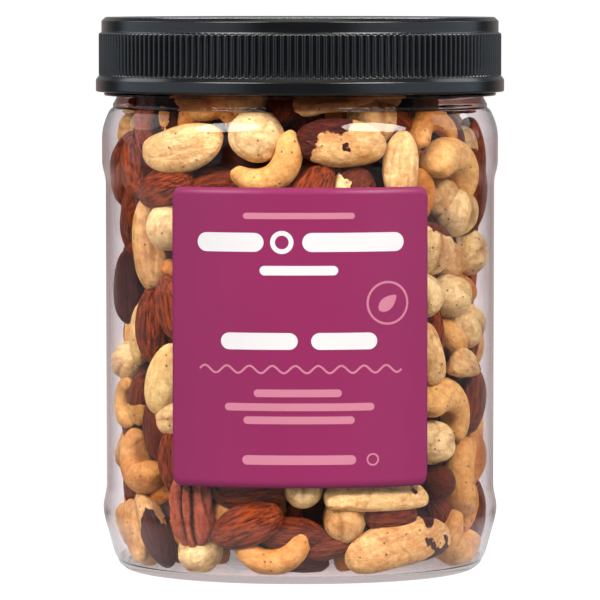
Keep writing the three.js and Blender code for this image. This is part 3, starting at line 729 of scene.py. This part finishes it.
def floor_tries(name, scale, draws):
    radius = FLOOR_RADIUS * np.sqrt(draws[:, 0])
    spot = at_bearing((2 * draws[:, 1] - 1) * pi, radius, np.zeros(len(draws)))
    basis, place = place_on_floor(name, spot, 360 * draws[:, 2], roll_from(draws), scale)
    return basis, place, np.ones(len(draws), bool)


def spread(counts, placed, random, tries, least_free=0.0, size_range=SIZE_RANGE):
    """Adds nuts one by one, each in the freest of the places tried."""
    looks = np.random.default_rng(len(placed))
    added = []
    for name, count in counts:
        for _ in range(count):
            scale = size_range[0] + (size_range[1] - size_range[0]) * next(random)
            draws = np.array([[next(random) for _ in range(5)] for _ in range(TRIES)])
            basis, place, allowed = tries(name, scale, draws)
            at, radius = beads_of(KINDS[name], scale, 1, basis, place)
            others = placed + added
            other_at = np.concatenate([nut["bead_at"] for nut in others])
            other_radius = np.concatenate([nut["bead_radius"] for nut in others])
            gaps = np.linalg.norm(at[:, :, None, :] - other_at[None, None], axis=-1)
            free = (gaps - radius[None, :, None] - other_radius).min((1, 2))
            free[~allowed] = -np.inf
            best = int(np.argmax(free))
            if free[best] > least_free:
                tone, skin = random_look(name, looks)
                added.append(nut_record(name, scale, 1, basis[best], place[best], tone, skin))
    return added


def random_look(name, looks):
    """Tone and share under skin of a nut that isn't placed from the photo."""
    tone = looks.uniform(*TONES)
    if name == "almond":
        return tone, 0.0 if looks.random() < BLANCHED else looks.uniform(*ALMOND_SKIN)
    if name in ("brazil", "hazelnut"):
        return tone, looks.choice(SKIN_SHARES, p=SKIN_CHANCES)
    return tone, 0.0


def lay_out_nuts():
    """The nuts against the wall and the floor, and the second layer's, toned darker as painted
    shade.
    """
    random = seeded_draws(SEED)
    outer = [seen_nut(name, *row) for name, rows in SEEN.items() for row in rows]
    outer += spread(SPREAD, outer, random, wall_tries)
    outer += spread(ON_FLOOR, outer, random, floor_tries)
    outer += spread(GAP_FILL, outer, random, gap_tries, GAP_OVERLAP, GAP_SIZES)
    second = spread(SECOND_LAYER, outer, random, inner_tries, SECOND_OVERLAP)
    # Painted shade: the nuts behind are given a darker tone.
    for nut in second:
        nut["tone"] -= SECOND_LAYER_SHADE
    return outer, second


# ---- Shape of the nuts ----

def almond_relief(share, around, x, y, phase):
    creases = np.sin(7 * around + phase[0] + 1.2 * np.sin(4 * share + phase[1]))
    fine = np.sin(17 * around + phase[2] + 2.0 * np.sin(5 * share + phase[3]))
    return (0.17 * creases + 0.1 * fine) * np.sin(pi * share)


def hazelnut_relief(share, around, x, y, phase):
    """Five uneven seams from end to end between flatter sides, and a sunk tip."""
    drift = 0.5 * np.sin(3 * share + phase[2])
    seams = 1 - np.abs(np.sin(2.5 * around + phase[0] + drift)) ** 0.4
    depth = 0.55 + 0.4 * np.sin(around + phase[4])
    dents = np.sin(4 * around + phase[1]) * np.sin(2.5 * pi * share + phase[3])
    tip = 0.7 * np.exp(-((share - 0.97) / 0.05) ** 2)
    return (-depth * seams + 0.2 * dents) * np.sin(pi * share) - tip


def brazil_relief(share, around, x, y, phase):
    lumps = np.sin(9 * share + phase[0]) * np.cos(2 * around + phase[1])
    seams = np.sin(13 * around + phase[2] + 2.5 * np.sin(7 * share))
    return (0.42 * lumps + 0.12 * seams) * np.sin(pi * share)


def cashew_relief(share, around, x, y, phase):
    fold = -0.6 * np.exp(-((around - pi) / 0.5) ** 2)
    lumps = np.sin(6 * share + phase[0]) * np.cos(around + phase[1])
    fine = np.sin(11 * share + phase[2]) * np.sin(3 * around + phase[3])
    return (fold + 0.28 * lumps + 0.16 * fine) * np.sin(pi * share)


def pecan_relief(share, around, x, y, phase):
    """A halved kernel: a narrow ridge between two deep furrows, and a rippled lobe at each side."""
    across = np.abs(y) + 0.35 * np.sin(x / 3.2 + phase[0])
    furrows = -3.2 * np.exp(-((across - 2.4) / 0.95) ** 2)
    slanted = across + 0.12 * x
    ripples = 0.8 * np.cos(slanted * 2 * pi / 2.9 + 0.9 * np.sin(x / 2.5 + phase[1]))
    lobes = ripples * np.clip((across - 3.2) / 1.5, 0, 1)
    return (furrows + lobes) * np.sin(pi * share) ** 0.7


RELIEF = {"almond": almond_relief, "hazelnut": hazelnut_relief, "brazil": brazil_relief,
          "cashew": cashew_relief, "pecan": pecan_relief}


def fine_nut(nut, detail, looks):
    """Points of one nut in place and in the nut's own frame, and how hollow the nut is at each."""
    name, kind = nut["name"], KINDS[nut["name"]]
    ring_count, side_count = detail
    phase = looks.uniform(0, 2 * pi, 8)
    steps = np.arange(1, ring_count + 1) / (ring_count + 1)
    shares = 0.5 - np.cos(pi * steps) / 2
    around = np.arange(side_count) / side_count * 2 * pi
    share, turn = np.meshgrid(shares, around, indexing="ij")
    uneven = 0.035 * np.sin(5 * share + phase[4]) * np.cos(turn + phase[5])
    uneven += 0.025 * np.cos(2 * turn + phase[6])
    reach = reach_at(kind, share, turn, nut["girth"]) * (1 + uneven)
    x, y = spine_at(kind, share)[0][..., 0], reach * np.cos(turn)
    relief = RELIEF[name](share, turn, x, y, phase) * np.minimum(1, reach / 3)
    own = nut_points(kind, shares, around, reach + relief, nut["scale"])
    hollow = np.append(np.clip(-relief / HOLLOW_DEPTH[name], 0, 1).ravel(), [0, 0])
    return own @ nut["basis"].T + nut["place"], own, hollow


def keep_inside(points):
    """Draws in what would come nearer than ROOM_GAP to the jar's wall or floor."""
    bearing = np.arctan2(points[:, 0], -points[:, 1])
    reach = np.hypot(points[:, 0], points[:, 1])
    most = wall_radius(bearing, points[:, 2], WALL + ROOM_GAP)
    shrink = np.minimum(1, most / np.maximum(reach, 1e-6))
    floor = np.interp(reach, *zip(*LOWEST))
    return np.column_stack([points[:, 0] * shrink, points[:, 1] * shrink,
                            np.maximum(points[:, 2], floor)])


def skin_cover(nut, own):
    """The share under skin at each point: a patch lies towards one end of its nut."""
    share = nut["skin"]
    if not 0.1 < abs(share) < 0.9:
        return np.full(len(own), abs(share))
    towards_end = own[:, 0] / (KINDS[nut["name"]]["length"] * nut["scale"] / 2)
    return abs(share) + PATCH_LEAN * share * towards_end


def nut_piece(piece_name, nuts, detail, looks):
    """One mesh of many nuts, with their tones, skins, hollows and own coordinates stored on it."""
    template = capped_faces(*detail)
    points, own_points, tones, skins, hollows, faces = [], [], [], [], [], []
    for nut in nuts:
        start = sum(len(p) for p in points)
        placed, own, hollow = fine_nut(nut, detail, looks)
        points.append(keep_inside(placed))
        own_points.append(own + looks.uniform(-500, 500, 3))
        tones.append(np.full(len(own), nut["tone"]))
        skins.append(skin_cover(nut, own))
        hollows.append(hollow)
        faces += [tuple(start + i for i in face) for face in template]
    piece = make_mesh(piece_name, np.concatenate(points), faces)
    for label, values in (("tone", tones), ("skin", skins), ("hollow", hollows)):
        store = piece.data.attributes.new(label, "FLOAT", "POINT")
        store.data.foreach_set("value", np.concatenate(values).astype(np.float32))
    store = piece.data.attributes.new("own", "FLOAT_VECTOR", "POINT")
    store.data.foreach_set("vector", np.concatenate(own_points).astype(np.float32).ravel())
    return piece


def nut_pieces(outer, second):
    """For each kind, a piece of the outer nuts and a plainer one of the nuts behind them."""
    looks = np.random.default_rng(SEED)
    for name in KINDS:
        own_kind = [nut for nut in outer if nut["name"] == name]
        yield name, nut_piece(f"nuts_{name}", own_kind, DETAIL[name], looks)
        behind = [nut for nut in second if nut["name"] == name]
        if behind:
            yield name, nut_piece(f"nuts_{name}_behind", behind, SECOND_DETAIL, looks)


def core_piece():
    """What fills the middle of the heap, behind the nuts: a dark shape that is painted shade."""
    bearings = np.linspace(0, 2 * pi, 96, endpoint=False)
    heights = np.linspace(CORE[0][0], CORE[-1][0], 90)
    rows = np.array(CORE, float)
    rings = []
    for height in heights:
        wide, deep, left = (np.interp(height, rows[:, 0], rows[:, i]) for i in (1, 2, 3))
        lumps = 1.3 * np.sin(9 * bearings + height / 3) * np.sin(height / 2.3 + 3 * bearings)
        ring = at_bearing(bearings, superellipse(bearings, wide) + lumps, height)
        ring[:, 0] -= left
        ring[:, 1] *= deep / wide
        rings.append(ring)
    points, faces = closed_skin(rings)
    return make_mesh("nuts_core", points, faces)


# ---- Materials ----

class Nodes:
    """A small helper for building a node tree. Colours are given without their alpha."""

    def __init__(self, tree):
        self.tree = tree

    def put(self, socket, value):
        if isinstance(value, bpy.types.NodeSocket):
            self.tree.links.new(value, socket)
        elif socket.type == "RGBA":
            socket.default_value = (*value, 1.0)
        else:
            socket.default_value = value

    def node(self, kind, inputs=(), **settings):
        made = self.tree.nodes.new(kind)
        for key, value in settings.items():
            setattr(made, key, value)
        for key, value in dict(inputs).items():
            self.put(made.inputs[key], value)
        return made

    def math(self, operation, *values, clamp=False):
        return self.node("ShaderNodeMath", enumerate(values), operation=operation,
                         use_clamp=clamp).outputs[0]

    def part(self, vector, axis):
        return self.node("ShaderNodeSeparateXYZ", {"Vector": vector}).outputs[axis]

    def seen_directly(self):
        """1 for what the camera sees, also through the clear plastic, and 0 for all else."""
        path = self.node("ShaderNodeLightPath").outputs
        bounces = self.math("ADD", path["Diffuse Depth"], path["Glossy Depth"])
        straight = self.math("LESS_THAN", bounces, 0.5)
        either = self.math("MAXIMUM", path["Is Camera Ray"], path["Is Transmission Ray"])
        return self.math("MULTIPLY", straight, either)


class Shader(Nodes):
    """The same for one material."""

    def __init__(self, name):
        self.material = bpy.data.materials.new(name)
        self.material.use_nodes = True
        super().__init__(self.material.node_tree)
        self.principled = self.tree.nodes["Principled BSDF"]

    def where(self):
        return self.node("ShaderNodeTexCoord").outputs["Object"]

    def attribute(self, name, output="Fac"):
        return self.node("ShaderNodeAttribute", attribute_name=name).outputs[output]

    def mix(self, share, first, second, blend="MIX"):
        made = self.node("ShaderNodeMix", data_type="RGBA", blend_type=blend)
        for index, value in ((0, share), (6, first), (7, second)):
            self.put(made.inputs[index], value)
        return made.outputs[2]

    def stain(self, share, colour, level, dark, pale=(1, 1, 1)):
        """The colour, multiplied up to the share by one that runs from dark to pale."""
        return self.mix(share, colour, self.mix(level, dark, pale), "MULTIPLY")

    def noise(self, vector, scale, detail=3.0, roughness=0.55, stretch=None):
        if stretch:
            vector = self.node("ShaderNodeVectorMath", {0: vector, 1: stretch},
                               operation="MULTIPLY").outputs[0]
        return self.node("ShaderNodeTexNoise", {
            "Vector": vector, "Scale": scale, "Detail": detail, "Roughness": roughness,
        }).outputs["Fac"]

    def steps(self, value, low, high):
        return self.node("ShaderNodeMapRange", {0: value, 1: low, 2: high},
                         interpolation_type="SMOOTHSTEP").outputs[0]

    def bump(self, height, strength, distance):
        return self.node("ShaderNodeBump", {
            "Height": height, "Strength": strength, "Distance": distance}).outputs[0]

    def set(self, **sockets):
        for key, value in sockets.items():
            self.put(self.principled.inputs[key.replace("_", " ")], value)
        return self.material


def kernel_colour(shader, name, own):
    """A kernel by its tone, browner in its hollows, with blotches, veins, streaks and specks."""
    blotch = shader.math("SUBTRACT", shader.noise(own, 0.14, 4), 0.5)
    level = shader.math("MULTIPLY_ADD", blotch, BLOTCHES, shader.attribute("tone"), clamp=True)
    colour = shader.mix(level, *KERNEL[name])
    streak = shader.steps(shader.noise(own, 0.5, 4, 0.6, (0.35, 2.2, 2.2)), 0.42, 0.62)
    colour = shader.stain(STREAKS[name], colour, streak, STREAK_COLOUR)
    from_vein = shader.math("ABSOLUTE", shader.math("SUBTRACT", shader.noise(own, 0.11, 3), 0.5))
    colour = shader.stain(VEINS[name], colour, shader.steps(from_vein, 0.0, 0.06), VEIN_COLOUR)
    mottle = shader.steps(shader.noise(own, 0.6, 5, 0.75), 0.36, 0.6)
    colour = shader.stain(MOTTLE, colour, mottle, *MOTTLE_COLOURS)
    # Hollows turn browner: partly the kernel's own colour, partly painted shade.
    hollow = shader.steps(shader.attribute("hollow"), 0.15, 1.0)
    colour = shader.mix(hollow, colour, HOLLOW_BROWN_AND_SHADE[name])
    spots = shader.node("ShaderNodeTexVoronoi", {"Vector": own, "Scale": 0.42}).outputs
    lot = shader.node("ShaderNodeSeparateColor", {"Color": spots["Color"]}).outputs[0]
    chosen = shader.math("MULTIPLY", shader.steps(lot, 0.48, 0.50), 0.8)
    speck = shader.math("SUBTRACT", 1.0, shader.steps(spots["Distance"], 0.10, 0.19))
    return shader.mix(shader.math("MULTIPLY", speck, chosen), colour, SPECK_COLOUR)


def nut_material(name):
    """A kernel, under patches of skin where its kind has a skin."""
    shader = Shader(f"nut_{name}")
    own = shader.attribute("own", "Vector")
    colour = kernel_colour(shader, name, own)
    grain = shader.noise(own, 0.9, 5, 0.7)
    wrinkles = shader.noise(own, 0.3, 4, 0.6, (0.6, 1.3, 1.3))
    height = shader.math("MULTIPLY", shader.math("ADD", grain, wrinkles), 1.5)
    roughness = shader.math("MULTIPLY_ADD", grain, 0.24, GLOSS[name])
    if name in SKIN:
        lines = shader.steps(shader.noise(own, 0.8, 5, 0.65, (0.22, 1.6, 1.6)), 0.35, 0.68)
        light = shader.math("ADD", shader.attribute("tone"), 0.3)
        level = shader.math("MULTIPLY", lines, light, clamp=True)
        reach = shader.math("MULTIPLY_ADD", shader.attribute("skin"), 0.64, 0.22)
        inside = shader.math("SUBTRACT", reach, shader.noise(own, 0.1, 4, 0.5))
        cover = shader.steps(inside, 0.0, 0.018)
        colour = shader.mix(cover, colour, shader.mix(level, *SKIN[name]))
        height = shader.math("MULTIPLY_ADD", cover, 0.9, height)
        height = shader.math("MULTIPLY_ADD", shader.math("MULTIPLY", lines, cover), 0.8, height)
    return shader.set(Base_Color=colour, Roughness=roughness, Specular_IOR_Level=0.28,
                      Normal=shader.bump(height, 0.6, 0.0007))


# The core's colour is painted shade for the nuts in the heap's shadow.
def core_shade_material():
    shader = Shader("nut_core_shade")
    clumps = shader.steps(shader.noise(shader.where(), 120, 4), 0.4, 0.62)
    return shader.set(Base_Color=shader.mix(clumps, *CORE_SHADE_COLOURS), Roughness=0.8,
                      Specular_IOR_Level=0.2)


def clear_material():
    """Clear plastic that lets the lights through to the nuts."""
    shader = Shader("jar_clear_plastic")
    where = shader.where()
    height = shader.part(where, "Z")
    # Above the crease the tint is painted shade for the lid's shade, as well as thicker plastic.
    at_neck = shader.steps(height, (CREASE_HEIGHT - 0.6) * MM, (CREASE_HEIGHT + 0.3) * MM)
    above_foot = shader.steps(height, 0.5 * MM, 3.5 * MM)
    tint = shader.mix(at_neck, shader.mix(above_foot, FOOT_TINT, BODY_TINT), NECK_THICK_AND_SHADE_TINT)
    waves = shader.noise(where, 26, 2, 0.5, (1, 1, 0.35))
    shader.set(Base_Color=tint, Roughness=0.015, IOR=CLEAR_IOR, Transmission_Weight=1.0,
               Normal=shader.bump(waves, 0.12, 0.002))
    through = shader.node("ShaderNodeBsdfTransparent", {"Color": SHADOW_TINT})
    for_shadow = shader.node("ShaderNodeLightPath").outputs["Is Shadow Ray"]
    blend = shader.node("ShaderNodeMixShader", {
        0: for_shadow, 1: shader.principled.outputs[0], 2: through.outputs[0]})
    shader.put(shader.tree.nodes["Material Output"].inputs["Surface"], blend.outputs[0])
    return shader.material


def lid_material():
    shader = Shader("lid_black_plastic")
    where = shader.where()
    haze = shader.noise(where, 60, 3, 0.6)
    return shader.set(Base_Color=shader.mix(haze, *LID_COLOURS), Specular_IOR_Level=0.6,
                      Roughness=shader.math("MULTIPLY_ADD", haze, 0.08, 0.17),
                      Normal=shader.bump(shader.noise(where, 2600, 2, 0.5), 0.08, 0.0001))


def film_material(name, colour, roughness):
    shader = Shader(name)
    where = shader.where()
    darker = tuple(0.9 * part for part in colour)
    tint = shader.mix(shader.noise(where, 45, 3, 0.6), darker, colour)
    return shader.set(Base_Color=tint, Roughness=roughness, Specular_IOR_Level=0.22,
                      Normal=shader.bump(shader.noise(where, 1800, 2, 0.5), 0.05, 0.0001))


def floor_material():
    """Pale where it is seen. In reflections it is bright only round the jar and far behind it."""
    shader = Shader("floor_pale")
    where = shader.where()
    away = shader.node("ShaderNodeVectorMath", {0: where}, operation="LENGTH").outputs["Value"]
    near = shader.math("SUBTRACT", 1.0, shader.steps(away, *NEAR_RANGE))
    to_back = shader.math("DIVIDE", shader.part(where, "Y"), away)
    behind = shader.math("MULTIPLY", shader.steps(to_back, *BACKDROP_RANGE), BACKDROP)
    mirrored = shader.math("MAXIMUM", behind, shader.math("MULTIPLY", near, NEAR_GLOW))
    seen = shader.seen_directly()
    unseen = shader.math("SUBTRACT", 1.0, seen)
    glow = shader.math("MULTIPLY_ADD", seen, FLOOR_GLOW, shader.math("MULTIPLY", unseen, mirrored))
    white = shader.math("MAXIMUM", seen, near)
    return shader.set(Base_Color=shader.mix(shader.noise(where, 3, 2), *FLOOR_COLOURS),
                      Roughness=0.6, Emission_Strength=glow,
                      Emission_Color=shader.mix(white, BACKDROP_COLOUR, (1, 1, 1)))


def finish_piece(piece, material, replaced=()):
    piece.data.materials.append(material)
    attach(piece, "root")
    if replaced:
        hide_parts(*replaced)


# ---- Studio ----

def add_light(name, place, aim_height, size, power, colour):
    light = bpy.data.lights.new(name, "AREA")
    light.shape = "ELLIPSE"
    light.size, light.size_y = size
    light.energy = power
    light.color = colour
    lamp = add_object(name, light)
    lamp.location = place
    lamp.visible_camera = False
    lamp.visible_transmission = False
    direction = np.array([0, 0, aim_height]) - np.array(place)
    lamp.rotation_euler = Vector(direction).to_track_quat("-Z", "Y").to_euler()


def add_surroundings():
    """Dim all round, brighter behind the jar, and white where the camera sees it."""
    world = bpy.data.worlds.new("studio")
    bpy.context.scene.world = world
    world.use_nodes = True
    nodes = Nodes(world.node_tree)
    direction = nodes.node("ShaderNodeTexCoord").outputs["Generated"]
    around = nodes.node("ShaderNodeMapRange", {
        "Value": nodes.part(direction, "Y"), "From Min": BACKDROP_RANGE[0],
        "From Max": BACKDROP_RANGE[1], "To Min": AMBIENT, "To Max": BACKDROP})
    strength = nodes.node("ShaderNodeMapRange", {
        "Value": nodes.seen_directly(), "To Min": around.outputs[0], "To Max": SKY_GLOW})
    background = nodes.tree.nodes["Background"]
    nodes.put(background.inputs["Strength"], strength.outputs[0])
    nodes.put(background.inputs["Color"], (1, 1, 1))


def add_floor():
    far = FLOOR_HALF
    floor = make_mesh("floor", [(-far, -far, 0), (far, -far, 0), (far, far, 0), (-far, far, 0)],
                      [(0, 1, 2, 3)])
    floor.data.materials.append(floor_material())


def add_studio():
    add_surroundings()
    add_floor()
    for side in (-1, 1):
        for name, (out, back, up), aim_height, size, power, more, colour in PAIRED_LIGHTS:
            add_light(f"{name}_{side}", (out * side, back, up), aim_height, size,
                      power + more * side, colour)
    add_light(*TOP_LIGHT)
    view = bpy.context.scene.view_settings
    view.view_transform = "Standard"
    view.look = "None"


def add_camera():
    camera = bpy.data.cameras.new("camera")
    camera.lens = CAMERA_LENS
    camera.sensor_width = CAMERA_SENSOR
    holder = add_object("camera", camera)
    holder.location = CAMERA_PLACE
    holder.rotation_euler = (pi / 2 - CAMERA_TILT, 0, 0)
    bpy.context.scene.camera = holder


def main():
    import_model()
    add_camera()
    add_studio()
    finish_piece(jar_piece(), clear_material(), ["jar"])
    finish_piece(lid_piece(), lid_material(), ["lid"])
    film, *inks = [film_material(name, *look) for name, look in FILM.items()]
    finish_piece(label_piece(), film, ["label"])
    for piece, ink in zip(label_print(), inks):
        finish_piece(piece, ink)
    nut_looks = {name: nut_material(name) for name in KINDS}
    for name, piece in nut_pieces(*lay_out_nuts()):
        finish_piece(piece, nut_looks[name], ["nuts"])
    finish_piece(core_piece(), core_shade_material(), ["nuts"])
    bpy.context.view_layer.update()


main()
